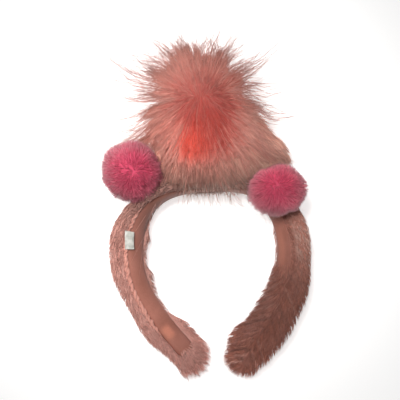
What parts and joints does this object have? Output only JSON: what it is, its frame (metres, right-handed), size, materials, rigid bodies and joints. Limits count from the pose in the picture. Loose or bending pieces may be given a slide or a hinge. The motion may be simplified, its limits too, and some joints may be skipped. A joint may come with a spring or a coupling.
{
  "type": "plush headband",
  "caption": "Padded plush headband with a smooth inner strip, a stuffed mound and a tuft of long fur on the crown, and fur pompoms on the shoulders.",
  "frame": {"origin": "on the table that the headband lies on, under the middle of the mound, at the middle of the flat patch that it rests on across the head", "axes": "+X to the right seen from the front, +Y from the head to the crown, +Z from the back of the headband to its front, up while it lies on its back"},
  "size_m": [0.1593, 0.2741, 0.0696],
  "materials": {
    "plush_pink": "short soft pile",
    "strip_rose": "smooth velour",
    "mound_cream": "soft pile",
    "fur_coral": "long glossy pile",
    "left_magenta": "dense clipped pile",
    "right_magenta": "dense clipped pile",
    "label_white": "woven ribbon"
  },
  "bodies": {
    "root": {"band_plush": "plush_pink", "inner_strip": "strip_rose", "crown_mound": "mound_cream", "fur_tuft": "fur_coral", "left_pompom": "left_magenta", "right_pompom": "right_magenta", "care_label": "label_white"}
  },
  "joints": []
}
